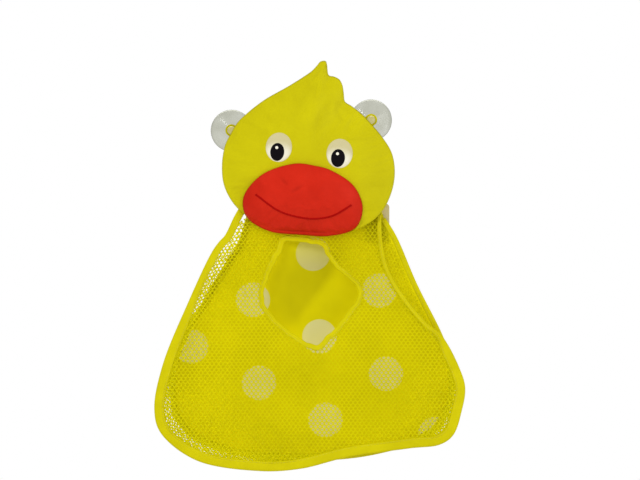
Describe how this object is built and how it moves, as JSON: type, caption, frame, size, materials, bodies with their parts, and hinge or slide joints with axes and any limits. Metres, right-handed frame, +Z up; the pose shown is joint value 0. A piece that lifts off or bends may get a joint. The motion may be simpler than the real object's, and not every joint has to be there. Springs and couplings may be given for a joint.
{
  "type": "bath toy organizer",
  "caption": "Net bag for bath toys that hangs from suction cups, with a padded duck head, a bound mouth in the net front, a dotted cloth back and a net gusset.",
  "frame": {"origin": "on the wall plane, midway between the two suction cups", "axes": "+Z up, +Y into the wall, +X to the right of a person facing the wall"},
  "size_m": [0.3315, 0.0525, 0.4378],
  "materials": {
    "clear_pvc": "clear, soft, glossy",
    "yellow_cloth": "smooth coated cloth, satin",
    "dotted_cloth": "smooth coated cloth, yellow with a common pattern of white dots",
    "yellow_tape": "folded woven tape",
    "yellow_net": "knitted polyester net",
    "red_cloth": "smooth coated cloth, satin",
    "smile_thread": "thick sewn thread",
    "eye_white_film": "heat-transfer film",
    "eye_black_film": "heat-transfer film",
    "foam": "soft polyester filling",
    "tag_cloth": "blank woven tape"
  },
  "bodies": {
    "organizer": {"cup_tab_left": "yellow_cloth", "cup_tab_right": "yellow_cloth", "head_back_cover": "yellow_cloth", "head_front_cover": "yellow_cloth", "head_filling": "foam", "beak_cover": "red_cloth", "beak_filling": "foam", "smile_cord": "smile_thread", "eye_white_left": "eye_white_film", "eye_white_right": "eye_white_film", "eye_pupil_left": "eye_black_film", "eye_pupil_right": "eye_black_film", "eye_glint_left": "eye_white_film", "eye_glint_right": "eye_white_film", "back_panel": "dotted_cloth", "back_seam_tape": "yellow_tape", "gusset_net": "yellow_net", "neck_tape": "yellow_tape", "side_tag": "tag_cloth"},
    "net_front": {"front_net": "yellow_net", "front_binding": "yellow_tape", "mouth_binding": "yellow_tape"},
    "cup_left": {"suction_cup_left": "clear_pvc"},
    "cup_right": {"suction_cup_right": "clear_pvc"}
  },
  "joints": [
    {"name": "cup_left_swivel", "type": "hinge", "parent": "organizer", "child": "cup_left", "pos_m": [-0.075, -0.0122, -0.0056], "axis": [0, 1, 0], "continuous": true},
    {"name": "cup_right_swivel", "type": "hinge", "parent": "organizer", "child": "cup_right", "pos_m": [0.075, -0.0122, 0.0056], "axis": [0, 1, 0], "continuous": true},
    {"name": "front_swing", "type": "hinge", "parent": "organizer", "child": "net_front", "pos_m": [0, -0.0145, -0.106], "axis": [-1, 0, 0], "range_deg": [-7, 8], "deforming": ["gusset_net"]}
  ]
}
